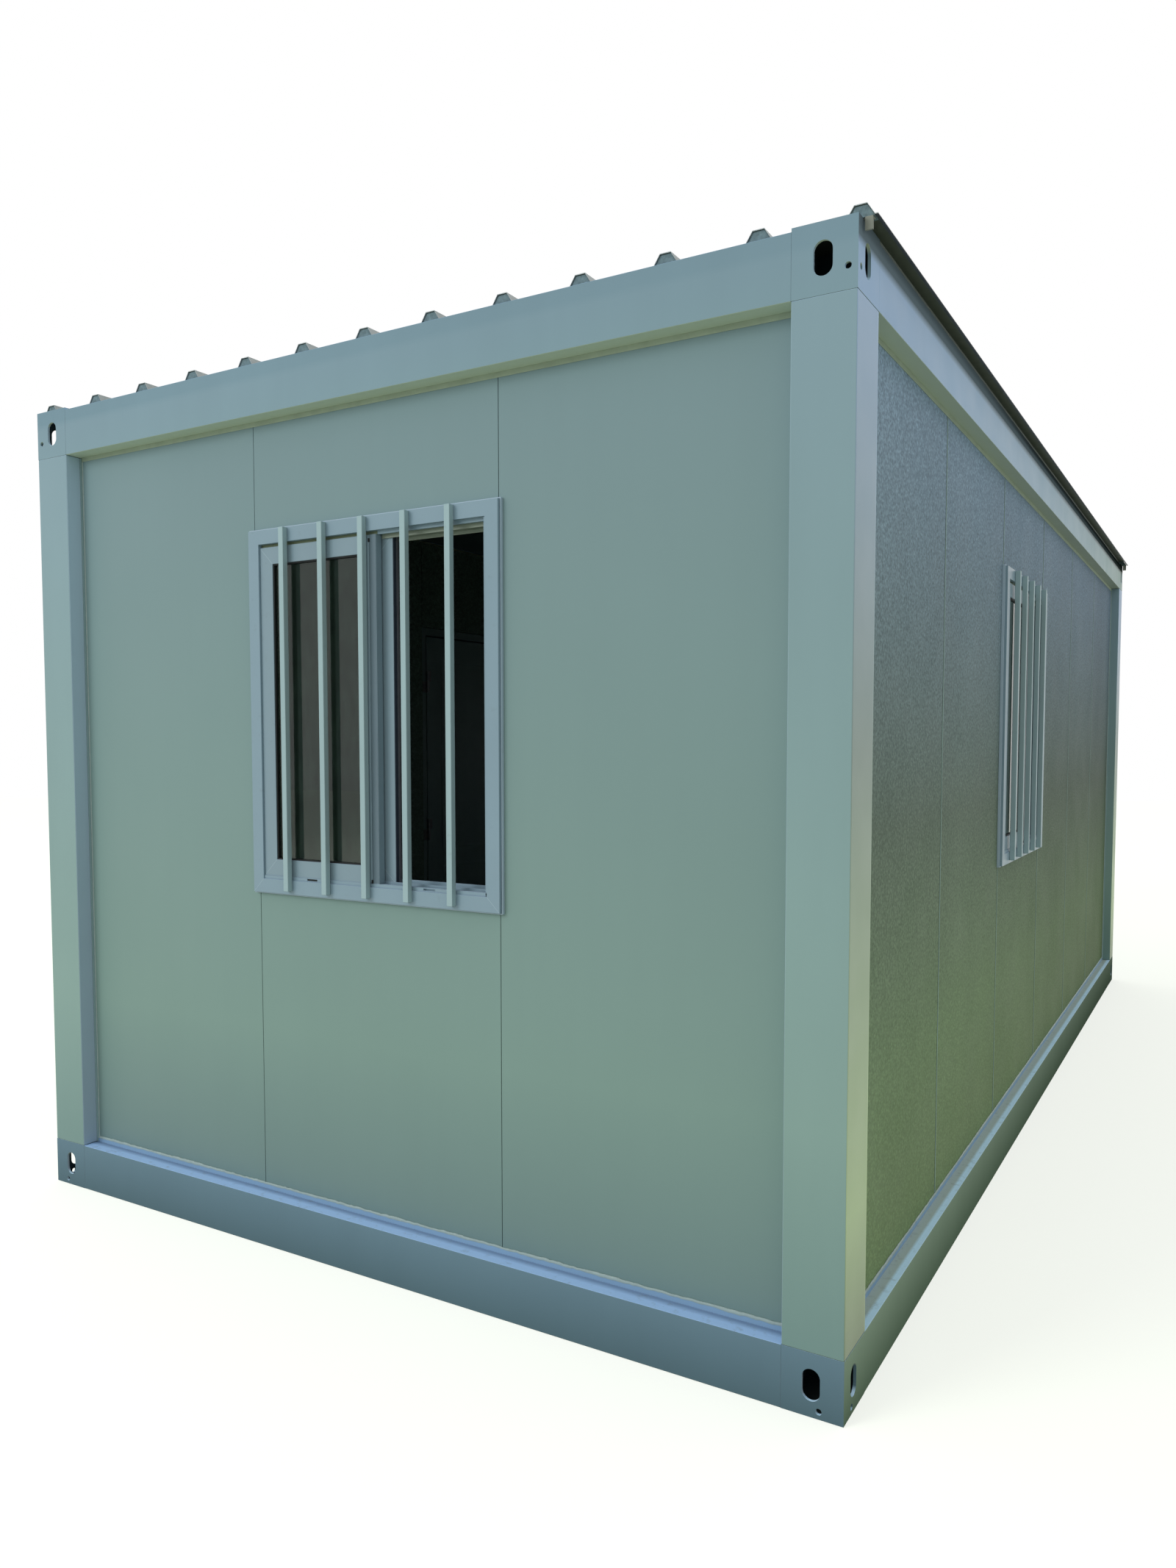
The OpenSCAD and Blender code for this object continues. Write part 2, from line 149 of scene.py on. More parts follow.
class Shape:
    """Closed solids gathered into one mesh. place turns (u, v, z) into a point of the frame."""

    def __init__(self, place=Vector):
        self.mesh = bmesh.new()
        self.place = place

    def loft(self, rings, looped=False):
        rows = [[self.mesh.verts.new(self.place(point)) for point in ring] for ring in rings]
        following = rows[1:] + rows[:1] if looped else rows[1:]
        for row, after in zip(rows, following):
            for i in range(len(row)):
                j = (i + 1) % len(row)
                self.mesh.faces.new((row[i], row[j], after[j], after[i]))
        if not looped:
            self.mesh.faces.new(rows[0])
            self.mesh.faces.new(list(reversed(rows[-1])))

    def box(self, u, v, z):
        corners = ((u[0], v[0]), (u[1], v[0]), (u[1], v[1]), (u[0], v[1]))
        self.loft([[(a, b, c) for a, b in corners] for c in z])

    def border(self, u, z, width, v):
        """A flat rectangular border, mitred at its corners; the width goes inwards."""
        corners = ((u[0], z[0], 1, 1), (u[1], z[0], -1, 1), (u[1], z[1], -1, -1), (u[0], z[1], 1, -1))
        rings = []
        for a, c, towards_u, towards_z in corners:
            inner = (a + towards_u * width, c + towards_z * width)
            rings.append([(a, v[0], c), (a, v[1], c), (inner[0], v[1], inner[1]), (inner[0], v[0], inner[1])])
        self.loft(rings, looped=True)

    def along_u(self, outline, span):
        """An outline of (v, z) points, drawn out along u."""
        self.loft([[(u, v, z) for v, z in outline] for u in span])

    def along_v(self, outline, span):
        """An outline of (u, z) points, drawn out along v."""
        self.loft([[(u, v, z) for u, z in outline] for v in span])

    def line(self, start, end, width, v):
        """A thin strip on an upright face, between two (u, z) places."""
        way = (Vector(end) - Vector(start)).normalized()
        side = Vector((-way.y, way.x)) * width / 2
        start, end = Vector(start), Vector(end)
        self.along_v([start + side, end + side, end - side, start - side], v)

    def rod(self, start, end, radius, sides=12, end_radius=None):
        """A round bar or cone between two (u, v, z) places."""
        start, end = Vector(start), Vector(end)
        way = (end - start).normalized()
        side = way.orthogonal().normalized()
        other = way.cross(side)
        turns = [2 * math.pi * i / sides for i in range(sides)]
        rings = []
        for centre, r in ((start, radius), (end, radius if end_radius is None else end_radius)):
            rings.append([centre + r * (math.cos(t) * side + math.sin(t) * other) for t in turns])
        self.loft(rings)

    def piece(self, name, material, slot=None, bevel=0.0, smooth=False, body="cabin"):
        bmesh.ops.recalc_face_normals(self.mesh, faces=self.mesh.faces[:])
        data = bpy.data.meshes.new(name)
        self.mesh.to_mesh(data)
        self.mesh.free()
        data.materials.append(material)
        if bevel or smooth:
            data.shade_smooth()
        if smooth:
            data.set_sharp_from_angle(angle=math.radians(40))
        thing = bpy.data.objects.new(name, data)
        bpy.context.scene.collection.objects.link(thing)
        if bevel:
            soften_edges(thing, bevel)
        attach(thing, body)
        return thing


# ---- materials ----

def tone(red, green, blue):
    """A colour given as it looks on a screen, 0 to 255, as the linear one that a shader takes."""
    def linear(value):
        share = value / 255
        return share / 12.92 if share <= 0.04045 else ((share + 0.055) / 1.055) ** 2.4
    return (linear(red), linear(green), linear(blue), 1.0)


class Finish:
    """One material's node tree, with short ways to add what the finishes share."""

    def __init__(self, name, roughness=0.5, specular=0.5, metallic=0.0):
        self.material = bpy.data.materials.new(name)
        self.material.use_nodes = True
        self.nodes = self.material.node_tree.nodes
        self.links = self.material.node_tree.links
        self.shader = self.nodes["Principled BSDF"]
        self.place = self.nodes.new("ShaderNodeTexCoord").outputs["Object"]
        self.put("Roughness", roughness)
        self.put("Specular IOR Level", specular)
        self.put("Metallic", metallic)

    def feed(self, socket, value):
        if isinstance(value, bpy.types.NodeSocket):
            self.links.new(value, socket)
        else:
            socket.default_value = value

    def put(self, socket, value):
        self.feed(self.shader.inputs[socket], value)

    def maths(self, operation, a, b=0.0):
        node = self.nodes.new("ShaderNodeMath")
        node.operation = operation
        self.feed(node.inputs[0], a)
        self.feed(node.inputs[1], b)
        return node.outputs[0]

    def remap(self, value, low, high, to_low=0.0, to_high=1.0):
        """Takes low to high onto to_low to to_high, and no further."""
        node = self.nodes.new("ShaderNodeMapRange")
        self.feed(node.inputs["Value"], value)
        node.inputs["From Min"].default_value = low
        node.inputs["From Max"].default_value = high
        node.inputs["To Min"].default_value = to_low
        node.inputs["To Max"].default_value = to_high
        return node.outputs["Result"]

    def mix(self, share, a, b, blend="MIX"):
        node = self.nodes.new("ShaderNodeMix")
        node.data_type = "RGBA"
        node.blend_type = blend
        self.feed(node.inputs[0], share)
        self.feed(node.inputs[6], a)
        self.feed(node.inputs[7], b)
        return node.outputs[2]

    def stretched(self, x, y, z):
        node = self.nodes.new("ShaderNodeMapping")
        self.links.new(self.place, node.inputs["Vector"])
        node.inputs["Scale"].default_value = (x, y, z)
        return node.outputs["Vector"]

    def noise(self, scale, detail=3.0, rough=0.5, stretch=(1, 1, 1)):
        node = self.nodes.new("ShaderNodeTexNoise")
        self.links.new(self.stretched(*stretch), node.inputs["Vector"])
        node.inputs["Scale"].default_value = scale
        node.inputs["Detail"].default_value = detail
        node.inputs["Roughness"].default_value = rough
        return node.outputs["Fac"]

    def axis(self, name):
        node = self.nodes.new("ShaderNodeSeparateXYZ")
        self.links.new(self.place, node.inputs[0])
        return node.outputs[name]

    def facing(self, name):
        """How far a face looks along an axis of the frame, from -1 to 1."""
        geometry = self.nodes.new("ShaderNodeNewGeometry")
        node = self.nodes.new("ShaderNodeSeparateXYZ")
        self.links.new(geometry.outputs["Normal"], node.inputs[0])
        return node.outputs[name]

    def ramp(self, value, stops):
        """Colours at places from 0 to 1."""
        node = self.nodes.new("ShaderNodeValToRGB")
        self.links.new(value, node.inputs[0])
        while len(node.color_ramp.elements) < len(stops):
            node.color_ramp.elements.new(0.5)
        for element, (place, colour) in zip(node.color_ramp.elements, stops):
            element.position = place
            element.color = colour
        return node.outputs["Color"]

    def by_height(self, stops):
        """Colours at heights in metres."""
        low, high = stops[0][0], stops[-1][0]
        share = self.remap(self.axis("Z"), low, high)
        return self.ramp(share, [((z - low) / (high - low), colour) for z, colour in stops])

    def by_length(self, stops):
        """Colours at places along the module, in metres from its middle."""
        share = self.remap(self.axis("Y"), -HALF_L, HALF_L)
        return self.ramp(share, [(0.5 + 0.5 * y / HALF_L, colour) for y, colour in stops])

    def shaded(self, colour, factor):
        """The colour times a factor that varies over the surface."""
        grey = self.nodes.new("ShaderNodeCombineColor")
        for channel in range(3):
            self.links.new(factor, grey.inputs[channel])
        return self.mix(1.0, colour, grey.outputs[0], "MULTIPLY")

    def varied(self, colour, share, scale, stretch=(1, 1, 1), detail=4.0):
        """The colour made lighter and darker in patches, by up to the share."""
        noise = self.noise(scale, detail, stretch=stretch)
        return self.shaded(colour, self.remap(noise, 0.3, 0.7, 1 - share, 1 + share))

    def relief(self, height, distance, strength=1.0):
        node = self.nodes.new("ShaderNodeBump")
        self.links.new(height, node.inputs["Height"])
        node.inputs["Distance"].default_value = distance
        node.inputs["Strength"].default_value = strength
        if self.shader.inputs["Normal"].is_linked:
            self.links.new(self.shader.inputs["Normal"].links[0].from_socket, node.inputs["Normal"])
        self.links.new(node.outputs["Normal"], self.shader.inputs["Normal"])


PLAIN_SKIN = tone(124, 146, 138)
# Painted shade: olive tone for the frame's downward faces.
UNDERSIDE_SHADE = tone(190, 204, 182)
# Painted reflection: blue tones for upward ledges; the inner side strip is painted shade beside the wall.
LEDGE = tone(162, 196, 236)
SIDE_LEDGE = tone(198, 232, 255)
SIDE_LEDGE_SHADE = tone(168, 184, 180)


def frame_paint(name, stops, side=None, gloss=0.2, painted_shade_inside=False):
    """Satin paint on folded steel: faint runs, dust on top, and painted light and shade.

    The tones go by height and carry painted reflections. The outer face of the right side takes its own
    colour, which side(finish) makes, with painted reflections and shade; sideways faces set further in are a
    little lighter, as painted light. Upward faces carry a painted blue reflection with painted shade beside
    the wall, and downward faces a painted olive shade. A hollow fitting is painted dark inside, as shade.
    """
    finish = Finish(name, specular=gloss)
    colour = finish.by_height(stops)
    from_middle = finish.maths("ABSOLUTE", finish.axis("X"))
    if side:
        sideways = finish.remap(finish.maths("ABSOLUTE", finish.facing("X")), 0.4, 0.8)
        outer = finish.remap(from_middle, HALF_W - 0.04, HALF_W - 0.02)
        inner = finish.maths("MULTIPLY", sideways, finish.maths("SUBTRACT", 1.0, outer))
        # Painted light: sideways faces set further in take lighter tones.
        colour = finish.mix(inner, colour, finish.by_height(RETURN_TONES))
        right = finish.remap(finish.axis("X"), 0.0, 0.1)
        outer = finish.maths("MULTIPLY", finish.maths("MULTIPLY", sideways, outer), right)
        # Painted reflections and shade: the right side's outer faces take their own tones.
        colour = finish.mix(outer, colour, side(finish))
    colour = finish.varied(colour, 0.03, 1.3)
    colour = finish.varied(colour, 0.015, 9.0, stretch=(1, 1, 0.12))
    upward = finish.remap(finish.facing("Z"), 0.35, 0.9)
    from_end = finish.maths("SUBTRACT", finish.maths("ABSOLUTE", finish.axis("Y")), HALF_L)
    inset = finish.maths("MAXIMUM", from_end, finish.maths("SUBTRACT", from_middle, HALF_W))
    at_side = finish.remap(from_middle, POST_INNER_X, SIDE_FACE - 0.03)
    # Painted reflection on upward faces, with painted shade darkening the end ledges towards the wall and a
    # darker inner strip on the side ledges.
    end_ledge = finish.shaded(LEDGE, finish.remap(inset, -0.050, -0.028, 0.50, 1.0))
    side_ledge = finish.mix(finish.remap(inset, -0.024, -0.015), SIDE_LEDGE_SHADE, SIDE_LEDGE)
    ledge = finish.mix(at_side, end_ledge, side_ledge)
    colour = finish.mix(upward, colour, ledge)
    grime = finish.maths("MULTIPLY", finish.remap(finish.noise(40, 5, 0.7), 0.55, 0.75), upward)
    colour = finish.mix(finish.maths("MULTIPLY", grime, 0.4), colour, tone(112, 118, 112))
    # Painted shade on downward faces, darker towards the back end along the sides.
    downward = finish.remap(finish.facing("Z"), -0.9, -0.35, 1.0, 0.0)
    fall = finish.maths("MULTIPLY", at_side, finish.remap(finish.axis("Y"), -2.6, 0.5, 0.04, 0.36))
    under = finish.shaded(UNDERSIDE_SHADE, finish.maths("SUBTRACT", 1.0, fall))
    colour = finish.mix(downward, colour, under)
    # Painted shade inside a hollow fitting.
    if painted_shade_inside:
        colour = finish.shaded(colour, finish.remap(inset, -0.016, -0.011, 0.12, 1.0))
    finish.put("Base Color", colour)
    finish.put("Roughness", finish.remap(finish.noise(6, 4), 0.3, 0.7, 0.34, 0.44))
    finish.relief(finish.noise(420, 2), 0.0001, 0.2)
    return finish.material


def post_side(finish):
    """Painted reflections as tones by height, and a painted highlight: a lighter line along the fold beside
    the wall.
    """
    from_end = finish.maths("ABSOLUTE", finish.axis("Y"))
    # Painted highlight along the post's fold.
    fold = finish.remap(from_end, POST_INNER_Y + 0.004, POST_INNER_Y + 0.009, 1.35, 1.0)
    return finish.shaded(finish.by_height(POST_SIDE_TONES), fold)


def low_side(finish):
    """Olive tones by height as a painted reflection, matt, and darker towards the back end as painted shade.
    """
    sideways = finish.maths("ABSOLUTE", finish.facing("X"))
    finish.put("Specular IOR Level", finish.remap(sideways, 0.3, 0.7, 0.04, 0.0))
    return finish.mix(1.0, finish.by_height(LOW_SIDE_TONES), finish.by_length(LOW_SIDE_RUN), "MULTIPLY")


def high_side(finish):
    """Blue, greener towards the back end, as a painted reflection, with a dull band of painted shade under
    the sheet's overhang that darkens towards the back end.
    """
    band = finish.remap(finish.axis("Z"), ROOF_TOP - 0.066, ROOF_TOP - 0.044)
    finish.put("Specular IOR Level", finish.maths("MULTIPLY", finish.maths("SUBTRACT", 1.0, band), 0.2))
    # Painted shade: the top of the band darker towards the back end.
    edge = finish.remap(finish.axis("Z"), ROOF_TOP - 0.032, ROOF_TOP - 0.020)
    fall = finish.maths("MULTIPLY", edge, finish.remap(finish.axis("Y"), -1.6, -0.6, 0.2, 0.65))
    eaves_shade = finish.shaded(finish.by_length(EAVES_SHADE_TONES), finish.maths("SUBTRACT", 1.0, fall))
    return finish.mix(band, finish.by_length(HIGH_SIDE_TONES), eaves_shade)


def smooth_panel(name, stops):
    """Coil-coated steel skin of the end walls: flat and matt, with painted reflections and shade in its tones
    by height.
    """
    finish = Finish(name, specular=0.3)
    colour = finish.varied(finish.by_height(stops), 0.02, 0.9)
    colour = finish.varied(colour, 0.006, 16.0, stretch=(1, 1, 0.05))
    finish.put("Base Color", colour)
    finish.put("Roughness", finish.remap(finish.noise(3, 3), 0.3, 0.7, 0.46, 0.54))
    finish.relief(finish.noise(3.0, 2), 0.002, 0.15)
    finish.relief(finish.noise(500, 2), 0.0001, 0.3)
    return finish.material


def embossed_panel(name, near_stops, far_stops):
    """Stucco-embossed steel skin of the long walls: small raised grains with painted shade between them,
    painted sheen on the grains higher up, and painted reflections in its tones, darker towards the back end
    as painted shade.
    """
    finish = Finish(name, specular=0.05)
    # Painted shade: the tones darker towards the back end.
    towards_back = finish.remap(finish.axis("Y"), -HALF_L, HALF_L)
    colour = finish.mix(towards_back, finish.by_height(near_stops), finish.by_height(far_stops))
    # Only the right wall's outer face carries the painted reflections; other faces keep the plain skin.
    rightward = finish.remap(finish.facing("X"), 0.2, 0.6)
    outer = finish.maths("MULTIPLY", rightward, finish.remap(finish.axis("X"), 0.0, 0.1))
    colour = finish.mix(outer, PLAIN_SKIN, colour)
    colour = finish.varied(colour, 0.06, 0.8)
    colour = finish.varied(colour, 0.05, 3.0, stretch=(1, 1, 0.2))
    grains = finish.nodes.new("ShaderNodeTexVoronoi")
    slant = finish.nodes.new("ShaderNodeMapping")
    finish.links.new(finish.place, slant.inputs["Vector"])
    slant.inputs["Rotation"].default_value = (math.radians(25), 0, 0)
    slant.inputs["Scale"].default_value = (1, 1, 1.5)
    finish.links.new(slant.outputs["Vector"], grains.inputs["Vector"])
    grains.inputs["Scale"].default_value = 80
    grains.inputs["Randomness"].default_value = 0.85
    emboss = finish.remap(grains.outputs["Distance"], 0.05, 0.6, 1.0, 0.0)
    speckle = finish.remap(finish.noise(105, 3, 0.6), 0.35, 0.65, -1.0, 1.0)
    # Painted sheen: the grains' speckle grows stronger higher up.
    strength = finish.remap(finish.axis("Z"), 0.3, 2.5, 0.12, 0.28)
    colour = finish.shaded(colour, finish.maths("ADD", finish.maths("MULTIPLY", speckle, strength), 1.0))
    # Painted shade between the grains, lighter on their tops.
    colour = finish.shaded(colour, finish.remap(emboss, 0.0, 0.6, 0.86, 1.04))
    finish.put("Base Color", colour)
    finish.put("Roughness", finish.remap(finish.noise(4, 3), 0.3, 0.7, 0.56, 0.64))
    finish.relief(emboss, 0.0008, 0.4)
    return finish.material


def plastic(name, colour, roughness=0.35):
    """Extruded white plastic of the windows, with a painted sky-blue sheen on upward faces."""
    finish = Finish(name, specular=0.45)
    shade = finish.varied(colour, 0.025, 4.0)
    # Painted sheen: upward faces lean towards sky blue.
    upward = finish.remap(finish.facing("Z"), 0.4, 0.9)
    shade = finish.mix(finish.maths("MULTIPLY", upward, 0.5), shade, tone(160, 180, 205))
    dirt = finish.remap(finish.noise(35, 5, 0.7), 0.6, 0.8, 0.0, 0.25)
    finish.put("Base Color", finish.mix(dirt, shade, tone(96, 108, 108)))
    finish.put("Roughness", finish.remap(finish.noise(12, 3), 0.3, 0.7, roughness - 0.04, roughness + 0.06))
    finish.relief(finish.noise(300, 2), 0.0001, 0.2)
    return finish.material


def plain(name, colour, roughness, specular=0.5, metallic=0.0, share=0.08, scale=25.0, bump=0.0003):
    """A small part's finish: a colour that varies a little, and a fine grain."""
    finish = Finish(name, specular=specular, metallic=metallic)
    finish.put("Base Color", finish.varied(colour, share, scale))
    low, high = roughness - 0.05, roughness + 0.05
    finish.put("Roughness", finish.remap(finish.noise(scale * 2, 3), 0.3, 0.7, low, high))
    finish.relief(finish.noise(scale * 12, 3), bump, 0.4)
    return finish.material


def pane_glass():
    """Clear window glass, a little green, under a thin uneven film of dust."""
    finish = Finish("pane_glass")
    tint = finish.varied(tone(98, 122, 110), 0.12, 6.0)
    finish.put("Base Color", finish.varied(tint, 0.25, 38.0, stretch=(1, 1, 0.3)))
    finish.put("Transmission Weight", finish.remap(finish.noise(60, 7, 0.75), 0.30, 0.75, 0.96, 0.88))
    finish.put("IOR", 1.45)
    finish.put("Specular IOR Level", 0.04)
    finish.put("Roughness", finish.remap(finish.noise(14, 5, 0.7), 0.45, 0.8, 0.0, 0.05))
    return finish.material


def roof_steel():
    """Aluminium-zinc coated roof sheet: fine spangle, dust in the troughs, and painted shade on its underside
    and outer edges.
    """
    finish = Finish("roof_steel", specular=0.5, metallic=0.35)
    spangle = finish.nodes.new("ShaderNodeTexVoronoi")
    finish.links.new(finish.place, spangle.inputs["Vector"])
    spangle.inputs["Scale"].default_value = 90
    flakes = finish.remap(spangle.outputs["Distance"], 0.0, 0.8)
    colour = finish.mix(flakes, tone(176, 184, 184), tone(160, 170, 172))
    colour = finish.varied(colour, 0.05, 1.6, stretch=(1, 0.2, 1))
    height = finish.remap(finish.axis("Z"), ROOF_TOP, SHEET_TOP)
    low_down = finish.remap(height, 0.0, 0.5, 1.0, 0.0)
    trough = finish.maths("MULTIPLY", low_down, finish.remap(finish.noise(7, 5, 0.7), 0.35, 0.7))
    colour = finish.mix(finish.maths("MULTIPLY", trough, 0.6), colour, tone(130, 128, 112))
    # Painted shade: the underside and the long outer edges darken, darkest at the rim.
    under = finish.remap(finish.facing("Z"), -0.9, -0.2, 1.0, 0.0)
    sideways = finish.remap(finish.maths("ABSOLUTE", finish.facing("X")), 0.8, 0.95)
    rim = finish.remap(finish.maths("ABSOLUTE", finish.axis("X")), SHEET_EDGE - 0.024, SHEET_EDGE - 0.012)
    shade = finish.mix(rim, tone(92, 100, 86), tone(26, 30, 30))
    colour = finish.mix(finish.maths("MAXIMUM", under, sideways), colour, shade)
    finish.put("Base Color", colour)
    finish.put("Metallic", finish.maths("MULTIPLY", finish.maths("SUBTRACT", 1.0, under), 0.35))
    finish.put("Roughness", finish.remap(finish.noise(20, 4), 0.3, 0.7, 0.35, 0.5))
    return finish.material


def galvanised():
    finish = Finish("galvanised", specular=0.5, metallic=0.7)
    spangle = finish.nodes.new("ShaderNodeTexVoronoi")
    finish.links.new(finish.place, spangle.inputs["Vector"])
    spangle.inputs["Scale"].default_value = 60
    flakes = finish.remap(spangle.outputs["Distance"], 0.0, 0.8)
    colour = finish.mix(flakes, tone(150, 156, 158), tone(128, 134, 138))
    finish.put("Base Color", finish.varied(colour, 0.08, 5.0))
    finish.put("Roughness", finish.remap(finish.noise(30, 4), 0.3, 0.7, 0.38, 0.52))
    return finish.material


def deck_board():
    finish = Finish("deck_board", specular=0.3)
    grain = finish.varied(tone(112, 106, 96), 0.12, 6.0, stretch=(1, 0.08, 1))
    finish.put("Base Color", finish.varied(grain, 0.06, 60.0))
    finish.put("Roughness", finish.remap(finish.noise(50, 4), 0.3, 0.7, 0.55, 0.7))
    return finish.material


def dimmed(stops, share):
    """The same stops, darker."""
    return [(place, tuple(part * share for part in colour[:3]) + (1.0,)) for place, colour in stops]


# Painted reflections in the tones: the paint is greener near the ground and bluer near the sky.
# Painted shade: the long sides darken towards the back end, and the floor beams towards the ground.
# The post sides' bright bands are painted sheen.
POST_TONES = [(FLOOR_TOP, tone(118, 146, 142)), (0.7, tone(134, 162, 155)), (ROOF_LOW, tone(130, 155, 165))]
POST_SIDE_TONES = [(FLOOR_TOP, tone(132, 146, 116)), (0.5, tone(178, 200, 152)),
                   (1.6, tone(140, 156, 148)), (ROOF_LOW, tone(156, 182, 212))]
LOW_TONES = [(0.0, tone(86, 110, 120)), (FLOOR_TOP, tone(104, 130, 144))]
LOW_SIDE_TONES = [(0.0, tone(100, 120, 100)), (FLOOR_TOP, tone(140, 160, 140))]
LOW_SIDE_RUN = [(-HALF_L, (1.0, 1.0, 1.0, 1.0)), (HALF_L, (0.5, 0.5, 0.5, 1.0))]
# Painted light: lighter tones for sideways faces set further in.
RETURN_TONES = [(FLOOR_TOP, tone(155, 175, 190)), (ROOF_LOW, tone(165, 190, 205))]
HIGH_TONES = [(ROOF_LOW, tone(124, 150, 160)), (ROOF_TOP, tone(122, 147, 160))]
HIGH_SIDE_TONES = [(-HALF_L, tone(146, 178, 214)), (HALF_L, tone(130, 158, 150))]
# Painted shade: the band under the sheet's overhang, darker towards the back end.
EAVES_SHADE_TONES = [(-HALF_L, tone(110, 125, 135)), (HALF_L, tone(40, 48, 44))]
END_TONES = [(FLOOR_TOP, tone(106, 130, 130)), (0.7, tone(122, 149, 141)), (ROOF_LOW, tone(118, 142, 147))]
SIDE_TONES = [(FLOOR_TOP, tone(120, 142, 100)), (0.7, tone(122, 146, 108)), (1.4, tone(106, 122, 108)),
              (ROOF_LOW, tone(136, 160, 182))]
# Painted shade: the far end of the long walls darker.
FAR_SIDE_TONES = dimmed(SIDE_TONES, 0.6)

paint_post = frame_paint("frame_paint_posts", POST_TONES, side=post_side)
paint_low = frame_paint("frame_paint_low", LOW_TONES, side=low_side, gloss=0.04)
paint_high = frame_paint("frame_paint_high", HIGH_TONES, side=high_side)
fitting_low = frame_paint("fitting_paint_low", LOW_TONES, side=low_side, gloss=0.04, painted_shade_inside=True)
fitting_high = frame_paint("fitting_paint_high", HIGH_TONES, side=high_side, painted_shade_inside=True)
end_panel = smooth_panel("panel_smooth", END_TONES)
side_panel = embossed_panel("panel_embossed", SIDE_TONES, FAR_SIDE_TONES)
pvc = plastic("window_plastic", tone(126, 150, 163))
sash_pvc = plastic("sash_plastic", tone(124, 146, 157))
# Painted olive shade for the fins under the window head.
fin_shade_pvc = plastic("fin_shade_plastic", tone(140, 152, 138))
# Painted highlight: the pale cover strip round the window frames.
highlight_pvc = plastic("highlight_plastic", tone(164, 184, 198))
# Painted shade: the dark band on the meeting stile.
stile_shade_pvc = plastic("stile_shade_plastic", tone(98, 116, 126))
bar_coat = plastic("bar_coat", tone(149, 174, 178), 0.4)
glass = pane_glass()
roof_metal = roof_steel()
zinc = galvanised()
board = deck_board()
door_coat = plastic("door_coat", tone(128, 152, 154), 0.4)
handle_metal = plain("handle_metal", tone(170, 172, 172), 0.3, metallic=0.9)
rubber = plain("black_rubber", tone(24, 27, 28), 0.6, specular=0.3)
brush = plain("brush_pile", tone(58, 66, 78), 0.8, specular=0.1)
edge_strip = plain("edge_strip", tone(104, 106, 114), 0.5, specular=0.2)
recess_shade = plain("recess_shade", tone(104, 114, 92), 0.6, specular=0.1)
seam_dark = plain("seam_dark", tone(58, 72, 76), 0.7, specular=0.2)
side_seam = plain("side_seam", tone(78, 93, 80), 0.8, specular=0.05)
# Painted highlight on the rolled edges of the long walls' joints.
lap_highlight = plain("lap_highlight", tone(150, 176, 172), 0.5, specular=0.05)
seam_faint = plain("seam_faint", tone(88, 106, 112), 0.6, specular=0.2)
weld_line = plain("weld_line", tone(162, 182, 192), 0.5, specular=0.3)
sealant = plain("sealant", tone(150, 168, 166), 0.4, scale=60, bump=0.001)
track_coat = frame_paint("track_paint", [(0.0, tone(128, 160, 190)), (2.82, tone(128, 160, 190))])
trim_coat = frame_paint("trim_paint", [(0.0, tone(132, 158, 160)), (2.82, tone(122, 146, 148))])
# Painted olive shade for the lip under the roof beams.
soffit_coat = plain("soffit_paint", tone(156, 170, 152), 0.5, specular=0.1)
screw_metal = plain("screw_metal", tone(140, 146, 148), 0.35, metallic=0.8)
foam = plain("grey_foam", tone(110, 130, 135), 0.9, specular=0.1, share=0.2, scale=90, bump=0.003)
clip_metal = plain("clip_metal", tone(136, 140, 130), 0.6, specular=0.2)


# ---- the CAD nodes' finishes ----

def cad_finish(name):
    """The material and the edge rounding of a CAD node."""
    if name.startswith("bottom_fitting"):
        return fitting_low, 0.0015
    if name.startswith("floor_beam"):
        return paint_low, 0.0015
    if name.startswith("top_fitting"):
        return fitting_high, 0.0015
    if name.startswith("roof_beam"):
        return paint_high, 0.0015
    if name.startswith("post"):
        return paint_post, 0.003
    if name.startswith(("right_w", "left_w", "door_head")) and name.endswith(("panels", "panel")):
        return side_panel, 0.0035
    if name.endswith("panels"):
        return end_panel, 0.001
    if name.endswith("window_frame"):
        return pvc, 0.0012
    if name.endswith("window_sashes"):
        return sash_pvc, 0.0012
    if name.endswith("window_glass"):
        return glass, 0.0
    if name.endswith("window_bars"):
        return bar_coat, 0.002
    return {
        "floor_joists": (zinc, 0.0), "floor_deck": (board, 0.0), "ceiling": (end_panel, 0.0),
        "roof_purlins": (zinc, 0.0), "roof_sheet": (roof_metal, 0.0), "door_frame": (door_coat, 0.0012),
        "door_leaf": (door_coat, 0.0015), "door_frame_hinges": (zinc, 0.0006),
        "door_leaf_hinges": (zinc, 0.0006), "door_handles": (handle_metal, 0.001),
    }[name]


def plain_normals():
    """A node group that drops imported normals, so that flat faces shade flat."""
    group = bpy.data.node_groups.new("plain_normals", "GeometryNodeTree")
    group.interface.new_socket("Geometry", in_out="INPUT", socket_type="NodeSocketGeometry")
    group.interface.new_socket("Geometry", in_out="OUTPUT", socket_type="NodeSocketGeometry")
    start = group.nodes.new("NodeGroupInput")
    smooth = group.nodes.new("GeometryNodeSetMeshNormal")
    smooth.mode = "SHARPNESS"
    smooth.inputs["Remove Custom"].default_value = True
    end = group.nodes.new("NodeGroupOutput")
    group.links.new(start.outputs[0], smooth.inputs["Mesh"])
    group.links.new(smooth.outputs["Mesh"], end.inputs[0])
    return group


